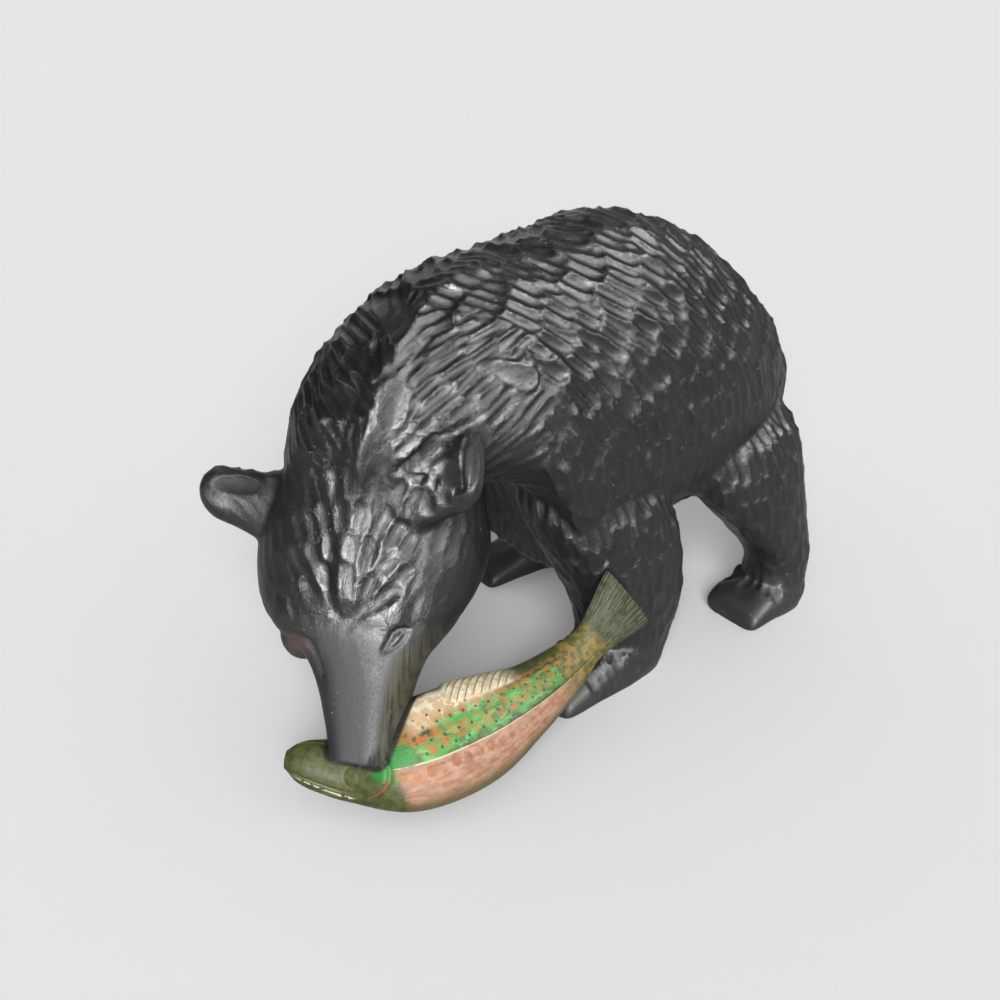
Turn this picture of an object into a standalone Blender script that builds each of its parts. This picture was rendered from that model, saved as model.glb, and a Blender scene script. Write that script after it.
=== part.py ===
"""A carved wooden bear that stands with its head down and a painted trout across its jaws.

Sizes are in metres, +Z up. The bear looks along -Y and its left side is +X. The body, head,
legs, ears and trout are lofts through oval sections, which are joined into one block of wood,
rounded, gouged over with a carver's strokes and stood on four flat feet.
"""

import math

import bmesh
import bpy
import numpy as np
from mathutils import Vector
from mathutils.kdtree import KDTree

BODY_LENGTH = 0.240  # from the brow to the end of the rump
U = BODY_LENGTH / 240  # the carver's unit, in which every station below is given

# Block and finish
BLOCK_GRAIN = 1.5 * U  # grid on which the lofts are joined into one block
TRIANGLES = 9400  # what the finished figure may hold
SECTION_SIDES = 40
STEPS_BETWEEN_STATIONS = 6

# The body, from the rump to the neck: x, y, z, half width, half height, turn, stoop, boxiness
BODY_STATIONS = (
    (0, 143, 88, 10, 12, 0, -25, 2.0),
    (0, 138, 91, 24, 27, 0, -22, 2.0),
    (0, 125, 97, 35, 40, 0, -18, 2.1),
    (0, 106, 106.5, 44, 50, 0, -12, 2.2),
    (0, 82, 118.5, 49.5, 60.5, 0, -5, 2.2),
    (0, 48, 125, 51, 68, 0, 0, 2.2),
    (0, 16, 119.5, 51, 70, 0, 4, 2.2),
    (-2, -14, 117, 53, 69, 2, 18, 2.2),
    (-6.5, -38, 112.5, 47, 58.5, 20, 44, 2.2),
)

# The head hangs from its crown along a line that turns and stoops
CROWN = (17, -82, 122)
HEAD_TURN = 38
HEAD_STOOP = 70
# along the face from the crown, across to the left, half width, depth from the face back, boxiness
HEAD_STATIONS = (
    (2, -1, 39, 80, 2.2),
    (25, -2, 44, 74, 2.3),
    (40, -2.5, 42.5, 63, 2.3),
    (52, -2.5, 37, 51, 2.4),
    (59, 0, 30, 44, 2.6),
    (66, 3.5, 22, 37, 3.0),
    (76, 5.3, 17, 33, 3.6),
    (88, 6.5, 14, 28, 3.8),
    (98, 7.2, 11.8, 23, 4.0),
    (102, 7.2, 10.4, 20, 4.0),
)

# Legs, from inside the body down: x, y, z, half width, half depth
LEFT_FRONT_LEG = (
    (25, 18, 112, 16, 24),
    (29, 20, 92, 22, 31),
    (33, 28, 70, 22, 31),
    (34, 36, 48, 19, 28),
    (33, 41, 26, 16.5, 25),
    (33, 36, 8, 15, 23),
    (33, 34, -6, 14, 20),
)
RIGHT_FRONT_LEG = (
    (-26, 34, 112, 16, 24),
    (-32, 42, 92, 19, 27),
    (-38, 54, 70, 17, 22),
    (-45, 63, 46, 15, 16),
    (-51, 68, 26, 13, 13),
    (-55, 68, 8, 13, 13),
    (-55, 67, -6, 12, 12),
)
LEFT_HIND_LEG = (
    (26, 98, 108, 14, 28),
    (33, 101, 90, 18.5, 32),
    (37, 107, 68, 18, 28),
    (40, 117.5, 46, 16, 19.5),
    (41, 126, 28, 14, 15),
    (40, 126, 10, 14, 15),
    (40, 124, -6, 13, 14),
)
RIGHT_HIND_LEG = (
    (-26, 94, 108, 14, 26),
    (-33, 95, 90, 18, 30),
    (-37, 99, 68, 18, 26),
    (-39, 109, 46, 15.5, 18),
    (-39, 117, 28, 13.5, 14),
    (-38, 118, 10, 13.5, 14),
    (-38, 116, -6, 12.5, 13),
)
# A foot, from toe to heel: share of its length, height of the middle, half width, half height
FOOT = (
    (0.0, 3, 13, 3.5),
    (0.06, 4.5, 15, 6),
    (0.3, 7, 15.5, 9),
    (0.65, 9, 15, 13),
    (0.93, 8, 11, 11),
    (1.0, 7, 5.5, 6),
)
# Where each foot stands: x, y of its toe, length, turn outwards, share of the full width
FEET = {
    "left_front": (35.5, -8, 63, 2, 1.1),
    "right_front": (-56, 28, 52, -2, 0.8),
    "left_hind": (41, 98, 43, 2, 1),
    "right_hind": (-38, 93, 42, -2, 0.95),
}
# An ear, from root to tip: share of its length, half width, half thickness
EAR = ((0, 20, 12), (0.3, 16, 8.5), (0.6, 12.5, 7), (0.85, 10.5, 6.5), (0.96, 7, 5), (1.0, 3, 2.5))
# The root and the tip of each ear (along the face, back from it, out from its middle), its side
# and its share of the full width
LEFT_EAR = ((-5, 14, 14), (-10, 7, 46), 1, 1.38)
RIGHT_EAR = ((19, 27, 24), (11, 22, 67), -1, 1.0)

# Rounded lumps on the block, in the head's own frame: along the face, across, back from the face,
# then half sizes along, across and deep
LUMPS = (
    (60, -20.5, 19, 11, 9.5, 11),  # right cheek
    (49, -20, 14, 13, 13.5, 12),  # right brow
    (54, 16, 24, 14, 10, 13),  # left cheek
    (88, 5, 24, 17, 12, 8),  # lower jaw
)
EYES = ((56, 20.5, 4.5), (57, -18, 4.5))  # along the face, across, half length of the slit

TRIES = 30000  # places tried for a stroke
# The carver's strokes on each region: half width, length, depth
STROKES = {
    "back": (6.5, 24, 2.0),
    "neck": (6, 24, 1.7),
    "head": (5, 20, 1.2),
    "leg": (6, 20, 1.4),
    "under": (7, 18, 0.9),
}

# The trout: x, y, z, half thickness, half depth, roll in degrees
TROUT_STATIONS = (
    (20, -119, 20, 3, 3.5, 40),
    (25, -114, 19.5, 6.5, 8, 40),
    (35, -100.5, 16, 8.5, 12.5, 40),
    (48, -84, 21, 11, 20, 40),
    (56, -60, 26, 11, 20, 45),
    (58.5, -36, 31, 9, 14, 45),
    (56.5, -15, 35, 6.5, 10, 38),
    (54.5, 0, 40, 5, 8, 25),
    (54, 10, 46, 3.8, 13, 10),
    (54, 20, 53, 3.2, 21, 0),
)


def clear_scene():
    for item in list(bpy.data.objects):
        bpy.data.objects.remove(item)


def heading(turn, stoop):
    """The side, up and along vectors of a section that is turned to the left and stooped."""
    yaw, pitch = math.radians(turn), math.radians(stoop)
    side = Vector((math.cos(yaw), math.sin(yaw), 0))
    ahead = Vector((math.sin(yaw), -math.cos(yaw), 0))
    up = ahead * math.sin(pitch) + Vector((0, 0, math.cos(pitch)))
    along = ahead * math.cos(pitch) - Vector((0, 0, math.sin(pitch)))
    return side, up, along


def smooth_rows(rows, steps):
    """Catmull-Rom curve through rows of numbers."""
    rows = np.array(rows, float)
    padded = np.vstack([2 * rows[0] - rows[1], rows, 2 * rows[-1] - rows[-2]])
    result = []
    for i in range(1, len(padded) - 2):
        a, b, c, d = padded[i - 1 : i + 3]
        for t in np.arange(steps) / steps:
            result.append(
                0.5 * (2 * b + (c - a) * t + (2 * a - 5 * b + 4 * c - d) * t**2 + (3 * b - a - 3 * c + d) * t**3)
            )
    result.append(rows[-1])
    return np.array(result)


def loft(sections):
    """A closed mesh through rings of points, with a fan at each end."""
    shape = bmesh.new()
    rings = [[shape.verts.new(Vector(p) * U) for p in ring] for ring in sections]
    for low, high in zip(rings, rings[1:]):
        for k in range(len(low)):
            m = (k + 1) % len(low)
            shape.faces.new((low[k], low[m], high[m], high[k]))
    for ring in (rings[0], rings[-1]):
        middle = shape.verts.new(sum((v.co for v in ring), Vector()) / len(ring))
        for k in range(len(ring)):
            shape.faces.new((ring[k], ring[(k + 1) % len(ring)], middle))
    bmesh.ops.recalc_face_normals(shape, faces=shape.faces)
    return shape


def oval(centre, side, up, half_width, half_height, boxiness=2.2, egg=0.0):
    """A ring of points round an oval, squarer above boxiness 2 and narrower at the top with egg."""
    ring = []
    for k in range(SECTION_SIDES):
        angle = math.tau * k / SECTION_SIDES
        c, s = math.cos(angle), math.sin(angle)
        x = math.copysign(abs(c) ** (2 / boxiness), c) * half_width * (1 - egg * s)
        y = math.copysign(abs(s) ** (2 / boxiness), s) * half_height
        ring.append(Vector(centre) + side * x + up * y)
    return ring


def head_frame():
    side, up, along = heading(HEAD_TURN, HEAD_STOOP)
    return Vector(CROWN), side, up, along


def trunk_and_head():
    crown, side, up, along = head_frame()
    rows = list(BODY_STATIONS)
    for reach, across, half_width, depth, boxiness in HEAD_STATIONS:
        centre = crown + along * reach + side * across - up * (depth / 2)
        rows.append((*centre, half_width, depth / 2, HEAD_TURN, HEAD_STOOP, boxiness))
    sections = []
    for x, y, z, half_width, half_height, turn, stoop, boxiness in smooth_rows(rows, STEPS_BETWEEN_STATIONS):
        side, up, _ = heading(turn, stoop)
        sections.append(oval((x, y, z), side, up, half_width, half_height, boxiness, egg=0.08))
    return loft(sections)


def leg(stations):
    sections = []
    for x, y, z, half_width, half_depth in smooth_rows(stations, STEPS_BETWEEN_STATIONS):
        sections.append(oval((x, y, z), Vector((1, 0, 0)), Vector((0, 1, 0)), half_width, half_depth, 2.5))
    return loft(sections)


def foot(x, y, length, turn, width):
    side, up, ahead = heading(turn, 0)
    toe = Vector((x, y, 0))
    sections = []
    for share, z, half_width, half_height in smooth_rows(FOOT, STEPS_BETWEEN_STATIONS):
        centre = toe - ahead * (share * length) + up * z * width
        sections.append(oval(centre, side, up, half_width * width, half_height * width, boxiness=2.8))
    return loft(sections)


def lump(reach, across, back, half_length, half_width, half_depth):
    crown, side, up, along = head_frame()
    middle = crown + along * reach + side * across - up * back
    sections = []
    for k in range(1, 12):
        angle = math.pi * k / 12
        centre = middle - along * (math.cos(angle) * half_length)
        share = math.sin(angle)
        sections.append(oval(centre, side, up, half_width * share, half_depth * share, 2))
    return loft(sections)


def ear(root, tip, sign, width):
    crown, side, up, along = head_frame()
    root, tip = (crown + along * lower - up * back + side * sign * out for lower, back, out in (root, tip))
    rows = []
    for share, half_width, half_depth in EAR:
        rows.append((*(root.lerp(tip, share)), half_width * width, half_depth))
    sections = [
        oval(row[:3], along, up, row[3], row[4]) for row in smooth_rows(rows, STEPS_BETWEEN_STATIONS)
    ]
    return loft(sections)


def trout_frame(rows, i):
    """The flank, back and along vectors of the trout at one of its rows."""
    before, after = rows[max(i - 1, 0)], rows[min(i + 1, len(rows) - 1)]
    along = (Vector(after[:3]) - Vector(before[:3])).normalized()
    level = along.cross(Vector((0, 0, 1))).normalized()  # out to the left of the bear
    roll = math.radians(rows[i][5])
    back = level.cross(along) * math.cos(roll) - level * math.sin(roll)
    return back.cross(along), back, along


def trout():
    rows = smooth_rows(TROUT_STATIONS, STEPS_BETWEEN_STATIONS)
    sections = []
    for i, row in enumerate(rows):
        flank, back, _ = trout_frame(rows, i)
        sections.append(oval(row[:3], flank, back, row[3], row[4], boxiness=2.0))
    return loft(sections)


def joined(shapes, name):
    """One object that holds several closed shapes."""
    whole = bmesh.new()
    for shape in shapes:
        mesh = bpy.data.meshes.new("piece")
        shape.to_mesh(mesh)
        shape.free()
        whole.from_mesh(mesh)
        bpy.data.meshes.remove(mesh)
    mesh = bpy.data.meshes.new(name)
    whole.to_mesh(mesh)
    whole.free()
    item = bpy.data.objects.new(name, mesh)
    bpy.context.scene.collection.objects.link(item)
    return item


def settle(item):
    """Replaces an object's mesh by what its modifiers make of it."""
    bpy.context.view_layer.update()
    graph = bpy.context.evaluated_depsgraph_get()
    mesh = bpy.data.meshes.new_from_object(item.evaluated_get(graph))
    old = item.data
    item.modifiers.clear()
    item.data = mesh
    bpy.data.meshes.remove(old)


def one_block(item, grain, rounds):
    remesh = item.modifiers.new("Block", "REMESH")
    remesh.mode = "VOXEL"
    remesh.voxel_size = grain
    smooth = item.modifiers.new("Round", "SMOOTH")
    smooth.factor = 0.5
    smooth.iterations = rounds
    settle(item)


def trout_reach(points):
    """How far out each point lies in the trout's own section: under 1 inside the plain loft."""
    rows = smooth_rows(TROUT_STATIONS, STEPS_BETWEEN_STATIONS)
    reach = np.full(len(points), 99.0)
    for i, row in enumerate(rows):
        flank, back, along = (np.array(v) for v in trout_frame(rows, i))
        gap = points - row[:3]
        out = np.sqrt((gap @ flank / row[3]) ** 2 + (gap @ back / row[4]) ** 2)
        near = np.abs(gap @ along) < 3.0
        reach = np.where(near, np.minimum(out, reach), reach)
    return reach


def head_places(points):
    """Each point in the head's own frame: along the face, across to the left, back from the face."""
    crown, side, up, along = (np.array(v) for v in head_frame())
    gap = points - crown
    return np.stack([gap @ along, gap @ side, -(gap @ up)], axis=1)


def fur(points, normals):
    """Which kind of stroke each point takes (an index into STROKES, or -1) and which way it runs."""
    x, y, z = points.T
    reach, across, back = head_places(points).T
    _, side, _, along = (np.array(v) for v in head_frame())
    kind = np.full(len(points), 0)
    flow = np.zeros((len(points), 3))
    drop = np.clip((180 - z) / 65, 0, 1)
    flow[:, 0] = np.sign(x) * (0.95 - 0.85 * drop)
    flow[:, 1] = 0.75 - 0.4 * drop
    flow[:, 2] = -1.1 * drop

    def lay(where, name, way):
        kind[where] = -1 if name is None else list(STROKES).index(name)
        flow[where] = np.broadcast_to(way, flow.shape)[where]

    lay(z < 84, "leg", (0, 0.25, -1))
    lay((z < 62) & (normals[:, 2] < -0.6), "under", (0.2, 1, 0))
    part = np.clip((across - np.where(reach < -20, 10, 2)) / 9, -1, 1)
    lay((reach > -62) & (y < -20), "neck", -0.9 * along + side * part[:, None])
    on_head = (reach > -6) & (y < -22)
    lay(on_head, "head", side * (across / 40)[:, None] - along)
    lay(on_head & ((reach > 60) | (back > 58)), None, (0, 0, 1))
    lay((z < 13) | ((z < 24) & (np.abs(normals[:, 2]) > 0.75)), None, (0, 0, 1))
    kind[trout_reach(points) < 1.25] = -1
    flow -= normals * np.sum(flow * normals, axis=1)[:, None]
    size = np.linalg.norm(flow, axis=1)
    kind[size < 0.05] = -1
    return kind, flow / np.maximum(size, 1e-6)[:, None]


def strewn_strokes(points, normals, seed, laid=None, sizes=None):
    """Strokes that overlap all over, after those already laid: middles, frames (way, across, outward)
    and spans (half width, length, depth)."""
    rng = np.random.default_rng(seed)
    kind, flow = fur(points, normals)
    sizes = np.array(sizes or list(STROKES.values()), float)
    spots, frames, spans = np.zeros((9000, 3)), np.zeros((9000, 3, 3)), np.zeros((9000, 3))
    count = 0
    if laid:
        count = len(laid[0])
        spots[:count], frames[:count], spans[:count] = laid
    for i in rng.permutation(len(points))[:TRIES]:
        if kind[i] < 0:
            continue
        local = np.einsum("nij,nj->ni", frames[:count], points[i] - spots[:count])
        half_width, length = spans[:count, 0], spans[:count, 1]
        room = (local[:, 0] / (length * 0.52)) ** 2 + (local[:, 1] / (half_width * 1.25)) ** 2
        if (room + (local[:, 2] / length) ** 2 < 1).any():
            continue
        spots[count] = points[i]
        frames[count] = flow[i], np.cross(normals[i], flow[i]), normals[i]
        spans[count] = sizes[kind[i]]
        count += 1
    return spots[:count], frames[:count], spans[:count]


def stroke_cuts(points, normals, strokes):
    """How deep each point is cut: the deepest of the scoops over it."""
    tree = KDTree(len(points))
    for i, point in enumerate(points):
        tree.insert(point, i)
    tree.balance()
    skin = trout_reach(points) > 1.12
    cuts = np.zeros(len(points))
    for spot, (flow, cross, outward), (half_width, length, cut) in zip(*strokes):
        near = np.array([j for _, j, _ in tree.find_range(spot, length * 0.62)], int)
        if not len(near):
            continue
        step = points[near] - spot
        u = (step @ flow) / length + 0.5
        rise = np.sin(np.clip(u / 0.75, 0, 1) * math.pi / 2)
        fall = np.sqrt(np.clip(1 - (np.clip(u - 0.75, 0, 1) / 0.25) ** 2, 0, 1))
        scoop = cut * (rise * fall - ((step @ cross) / half_width) ** 2)
        scoop[(u < 0) | (u > 1) | (normals[near] @ outward < 0.3) | ~skin[near]] = 0
        cuts[near] = np.maximum(cuts[near], scoop)
    return cuts


def face_field(points, normals):
    """Cuts for the eyes, the brow creases, the ear hollows and the flat of the nose."""
    reach, across, back = head_places(points).T
    outward = normals @ np.array(head_frame()[2])
    depth = np.zeros(len(points))
    for eye_reach, eye_across, half in EYES:
        r = ((reach - eye_reach) / 3.5) ** 2 + ((across - eye_across) / (half + 1.5)) ** 2
        depth = np.maximum(depth, 2.2 * np.clip(1 - r, 0, 1) * (back < 25))
    for root, tip, sign, _ in (LEFT_EAR, RIGHT_EAR):
        out = (root[2] + 2 * tip[2]) / 3 * sign
        low = (root[0] + 2 * tip[0]) / 3
        r = ((reach - low) / 7.5) ** 2 + ((across - out) / 10) ** 2
        depth = np.maximum(depth, 5 * np.clip(1 - r, 0, 1) * (outward > 0.1) * (back < 30))
    return depth


def carve(item, seed):
    mesh = item.data
    points, normals = (np.empty(len(mesh.vertices) * 3, np.float32) for _ in range(2))
    mesh.vertices.foreach_get("co", points)
    mesh.vertices.foreach_get("normal", normals)
    points, normals = points.reshape(-1, 3).astype(float) / U, normals.reshape(-1, 3).astype(float)
    strokes = strewn_strokes(points, normals, seed)
    cuts = stroke_cuts(points, normals, strokes) + face_field(points, normals)
    points -= normals * cuts[:, None]
    mesh.vertices.foreach_set("co", (points * U).astype(np.float32).ravel())
    mesh.update()


def thin_out(item, triangles):
    """Fewer, larger facets, as a knife leaves them."""
    facets = item.modifiers.new("Facets", "DECIMATE")
    facets.ratio = triangles / sum(len(face.vertices) - 2 for face in item.data.polygons)
    settle(item)


def stand(item):
    """Cuts the soles flat and puts the origin under the middle of the figure."""
    shape = bmesh.new()
    shape.from_mesh(item.data)
    every = shape.verts[:] + shape.edges[:] + shape.faces[:]
    cut = bmesh.ops.bisect_plane(shape, geom=every, plane_co=(0, 0, 0), plane_no=(0, 0, 1), clear_inner=True)
    edges = [piece for piece in cut["geom_cut"] if isinstance(piece, bmesh.types.BMEdge)]
    bmesh.ops.contextual_create(shape, geom=edges)
    bmesh.ops.triangulate(shape, faces=shape.faces)
    bmesh.ops.recalc_face_normals(shape, faces=shape.faces)
    corners = np.array([vertex.co for vertex in shape.verts])
    middle = (corners.min(axis=0) + corners.max(axis=0)) / 2
    bmesh.ops.translate(shape, verts=shape.verts, vec=(-middle[0], -middle[1], 0))
    shape.to_mesh(item.data)
    shape.free()
    return middle / U


def main():
    clear_scene()
    shapes = [trunk_and_head(), trout(), ear(*LEFT_EAR), ear(*RIGHT_EAR)]
    shapes += [leg(row) for row in (LEFT_FRONT_LEG, RIGHT_FRONT_LEG, LEFT_HIND_LEG, RIGHT_HIND_LEG)]
    shapes += [foot(*place) for place in FEET.values()]
    shapes += [lump(*row) for row in LUMPS]
    bear = joined(shapes, "bear_with_trout")
    one_block(bear, BLOCK_GRAIN, 4)
    carve(bear, 7)
    thin_out(bear, TRIANGLES)
    return stand(bear)


MIDDLE = main()
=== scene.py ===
"""A carved bear of black-stained wood with a painted trout across its jaws, on a pale floor.

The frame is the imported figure. The operators build the bear and the trout as finer pieces on it,
give them their stain and paint, and set the floor, the lights and the camera. Shapes are worked
out in the carver's unit, which is a millimetre when the figure has its real size.
"""

import math

import bmesh
import bpy
import numpy as np
from mathutils import Matrix, Vector
from mathutils.bvhtree import BVHTree
from mathutils.kdtree import KDTree


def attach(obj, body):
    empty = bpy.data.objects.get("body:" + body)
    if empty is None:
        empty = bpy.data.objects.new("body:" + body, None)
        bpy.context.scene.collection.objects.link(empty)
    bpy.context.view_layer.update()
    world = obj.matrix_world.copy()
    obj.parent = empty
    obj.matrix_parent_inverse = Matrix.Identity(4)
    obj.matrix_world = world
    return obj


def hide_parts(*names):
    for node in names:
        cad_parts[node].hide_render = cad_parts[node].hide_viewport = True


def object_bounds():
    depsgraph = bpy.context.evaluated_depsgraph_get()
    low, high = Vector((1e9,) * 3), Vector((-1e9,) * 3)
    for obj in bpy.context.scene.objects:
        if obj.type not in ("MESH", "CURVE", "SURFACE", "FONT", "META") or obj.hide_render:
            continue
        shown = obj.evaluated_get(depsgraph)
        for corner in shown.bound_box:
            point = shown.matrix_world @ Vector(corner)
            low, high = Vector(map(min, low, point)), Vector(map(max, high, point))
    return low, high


bl_info = {
    "name": "Carved bear with a trout",
    "version": (1, 0, 0),
    "blender": (4, 5, 0),
    "location": "3D View > Sidebar > Carving",
    "description": "Builds a carved wooden bear that holds a painted trout",
    "category": "Object",
}

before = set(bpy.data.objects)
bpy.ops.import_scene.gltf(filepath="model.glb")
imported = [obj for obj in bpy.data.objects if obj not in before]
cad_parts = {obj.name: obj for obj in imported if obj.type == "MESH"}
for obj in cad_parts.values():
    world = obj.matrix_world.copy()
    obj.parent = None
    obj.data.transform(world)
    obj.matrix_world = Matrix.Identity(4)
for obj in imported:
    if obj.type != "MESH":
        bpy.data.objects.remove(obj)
cad_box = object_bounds()
U = (cad_box[1][1] - cad_box[0][1]) / 269.18  # the carver's unit, from the length of the figure
MIDDLE = (2.117, 14.006)  # where the middle of the figure lies in the carver's own axes

COARSE_GRAIN = 1.5 * U
SECTION_SIDES = 40
STEPS_BETWEEN_STATIONS = 6
HEAD_STARTS_AT = -22  # the head lies ahead of this y

# The body, from the rump to the neck: x, y, z, half width, half height, turn, stoop, boxiness
BODY_STATIONS = (
    (0, 143, 88, 10, 12, 0, -25, 2.0),
    (0, 138, 91, 24, 27, 0, -22, 2.0),
    (0, 125, 97, 35, 40, 0, -18, 2.1),
    (0, 106, 106.5, 44, 50, 0, -12, 2.2),
    (0, 82, 118.5, 49.5, 60.5, 0, -5, 2.2),
    (0, 48, 125, 51, 68, 0, 0, 2.2),
    (0, 16, 119.5, 51, 70, 0, 4, 2.2),
    (-2, -14, 117, 53, 69, 2, 18, 2.2),
    (-6.5, -38, 112.5, 47, 58.5, 20, 44, 2.2),
)

# The head hangs from its crown along a line that turns and stoops
CROWN = (17, -82, 122)
HEAD_TURN = 38
HEAD_STOOP = 70
# along the face from the crown, across to the left, half width, depth from the face back, boxiness
HEAD_STATIONS = (
    (2, -1, 39, 80, 2.2),
    (25, -2, 44, 74, 2.3),
    (40, -2.5, 42.5, 63, 2.3),
    (52, -2.5, 37, 51, 2.4),
    (59, 0, 30, 44, 2.6),
    (66, 3.5, 22, 37, 3.0),
    (76, 5.3, 17, 33, 3.6),
    (88, 6.5, 14, 28, 3.8),
    (98, 7.2, 11.8, 23, 4.0),
    (102, 7.2, 10.4, 20, 4.0),
)

# Legs, from inside the body down: x, y, z, half width, half depth
LEFT_FRONT_LEG = (
    (25, 18, 112, 16, 24),
    (29, 20, 92, 22, 31),
    (33, 28, 70, 22, 31),
    (34, 36, 48, 19, 28),
    (33, 41, 26, 16.5, 25),
    (33, 36, 8, 15, 23),
    (33, 34, -6, 14, 20),
)
RIGHT_FRONT_LEG = (
    (-26, 34, 112, 16, 24),
    (-32, 42, 92, 19, 27),
    (-38, 54, 70, 17, 22),
    (-45, 63, 46, 15, 16),
    (-51, 68, 26, 13, 13),
    (-55, 68, 8, 13, 13),
    (-55, 67, -6, 12, 12),
)
LEFT_HIND_LEG = (
    (26, 98, 108, 14, 28),
    (33, 101, 90, 18.5, 32),
    (37, 107, 68, 18, 28),
    (40, 117.5, 46, 16, 19.5),
    (41, 126, 28, 14, 15),
    (40, 126, 10, 14, 15),
    (40, 124, -6, 13, 14),
)
RIGHT_HIND_LEG = (
    (-26, 94, 108, 14, 26),
    (-33, 95, 90, 18, 30),
    (-37, 99, 68, 18, 26),
    (-39, 109, 46, 15.5, 18),
    (-39, 117, 28, 13.5, 14),
    (-38, 118, 10, 13.5, 14),
    (-38, 116, -6, 12.5, 13),
)
# A foot, from toe to heel: share of its length, height of the middle, half width, half height
FOOT = (
    (0.0, 3, 13, 3.5),
    (0.06, 4.5, 15, 6),
    (0.3, 7, 15.5, 9),
    (0.65, 9, 15, 13),
    (0.93, 8, 11, 11),
    (1.0, 7, 5.5, 6),
)
# Where each foot stands: x, y of its toe, length, turn outwards, share of the full width
FEET = {
    "left_front": (35.5, -8, 63, 2, 1.1),
    "right_front": (-56, 28, 52, -2, 0.8),
    "left_hind": (41, 98, 43, 2, 1),
    "right_hind": (-38, 93, 42, -2, 0.95),
}
# An ear, from root to tip: share of its length, half width, half thickness
EAR = ((0, 20, 12), (0.3, 16, 8.5), (0.6, 12.5, 7), (0.85, 10.5, 6.5), (0.96, 7, 5), (1.0, 3, 2.5))
# The root and the tip of each ear (along the face, back from it, out from its middle), its side
# and its share of the full width
LEFT_EAR = ((-5, 14, 14), (-10, 7, 46), 1, 1.38)
RIGHT_EAR = ((19, 27, 24), (11, 22, 67), -1, 1.0)

# Rounded lumps on the block, in the head's own frame: along the face, across, back from the face,
# then half sizes along, across and deep
LUMPS = (
    (60, -20.5, 19, 11, 9.5, 11),  # right cheek
    (49, -20, 14, 13, 13.5, 12),  # right brow
    (54, 16, 24, 14, 10, 13),  # left cheek
    (88, 5, 24, 17, 12, 8),  # lower jaw
)

TRIES = 30000  # places tried for a stroke
MOST_STROKES = 9000
SCOOP_DEEPEST = 0.75  # where along a stroke its scoop is deepest
TROUT_SKIN = 1.12  # reach in the trout's section up to which no stroke cuts
LANE_STEP = 2.3  # sets the gouge's scoring apart from one stroke to the next
# The carver's strokes on each region: half width, length, depth
STROKES = {
    "back": (6.5, 24, 2.0),
    "neck": (6, 24, 1.7),
    "head": (5, 20, 1.2),
    "leg": (6, 20, 1.4),
    "under": (7, 18, 0.9),
}

# The trout: x, y, z, half thickness, half depth, roll in degrees
TROUT_STATIONS = (
    (20, -119, 20, 3, 3.5, 40),
    (25, -114, 19.5, 6.5, 8, 40),
    (35, -100.5, 16, 8.5, 12.5, 40),
    (48, -84, 21, 11, 20, 40),
    (56, -60, 26, 11, 20, 45),
    (58.5, -36, 31, 9, 14, 45),
    (56.5, -15, 35, 6.5, 10, 38),
    (54.5, 0, 40, 5, 8, 25),
    (54, 10, 46, 3.8, 13, 10),
    (54, 20, 53, 3.2, 21, 0),
)


def heading(turn, stoop):
    """The side, up and along vectors of a section that is turned to the left and stooped."""
    yaw, pitch = math.radians(turn), math.radians(stoop)
    side = Vector((math.cos(yaw), math.sin(yaw), 0))
    ahead = Vector((math.sin(yaw), -math.cos(yaw), 0))
    up = ahead * math.sin(pitch) + Vector((0, 0, math.cos(pitch)))
    along = ahead * math.cos(pitch) - Vector((0, 0, math.sin(pitch)))
    return side, up, along


def smooth_rows(rows, steps=STEPS_BETWEEN_STATIONS):
    """Catmull-Rom curve through rows of numbers."""
    rows = np.array(rows, float)
    padded = np.vstack([2 * rows[0] - rows[1], rows, 2 * rows[-1] - rows[-2]])
    result = []
    for i in range(1, len(padded) - 2):
        a, b, c, d = padded[i - 1 : i + 3]
        for t in np.arange(steps) / steps:
            square, cube = 2 * a - 5 * b + 4 * c - d, 3 * b - a - 3 * c + d
            result.append(0.5 * (2 * b + (c - a) * t + square * t**2 + cube * t**3))
    result.append(rows[-1])
    return np.array(result)


def loft(sections):
    """A closed mesh through rings of points, with a fan at each end."""
    shape = bmesh.new()
    rings = [[shape.verts.new(Vector(p) * U) for p in ring] for ring in sections]
    for low, high in zip(rings, rings[1:]):
        for k in range(len(low)):
            m = (k + 1) % len(low)
            shape.faces.new((low[k], low[m], high[m], high[k]))
    for ring in (rings[0], rings[-1]):
        middle = shape.verts.new(sum((v.co for v in ring), Vector()) / len(ring))
        for k in range(len(ring)):
            shape.faces.new((ring[k], ring[(k + 1) % len(ring)], middle))
    bmesh.ops.recalc_face_normals(shape, faces=shape.faces)
    return shape


def oval(centre, side, up, half_width, half_height, boxiness=2.2, egg=0.0):
    """A ring of points round an oval, squarer above boxiness 2 and narrower at the top with egg."""
    ring = []
    for k in range(SECTION_SIDES):
        angle = math.tau * k / SECTION_SIDES
        c, s = math.cos(angle), math.sin(angle)
        x = math.copysign(abs(c) ** (2 / boxiness), c) * half_width * (1 - egg * s)
        y = math.copysign(abs(s) ** (2 / boxiness), s) * half_height
        ring.append(Vector(centre) + side * x + up * y)
    return ring


def head_frame():
    """The crown and the side, up and along vectors of the head."""
    return Vector(CROWN), *heading(HEAD_TURN, HEAD_STOOP)


def as_arrays(vectors):
    return [np.array(vector) for vector in vectors]


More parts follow.
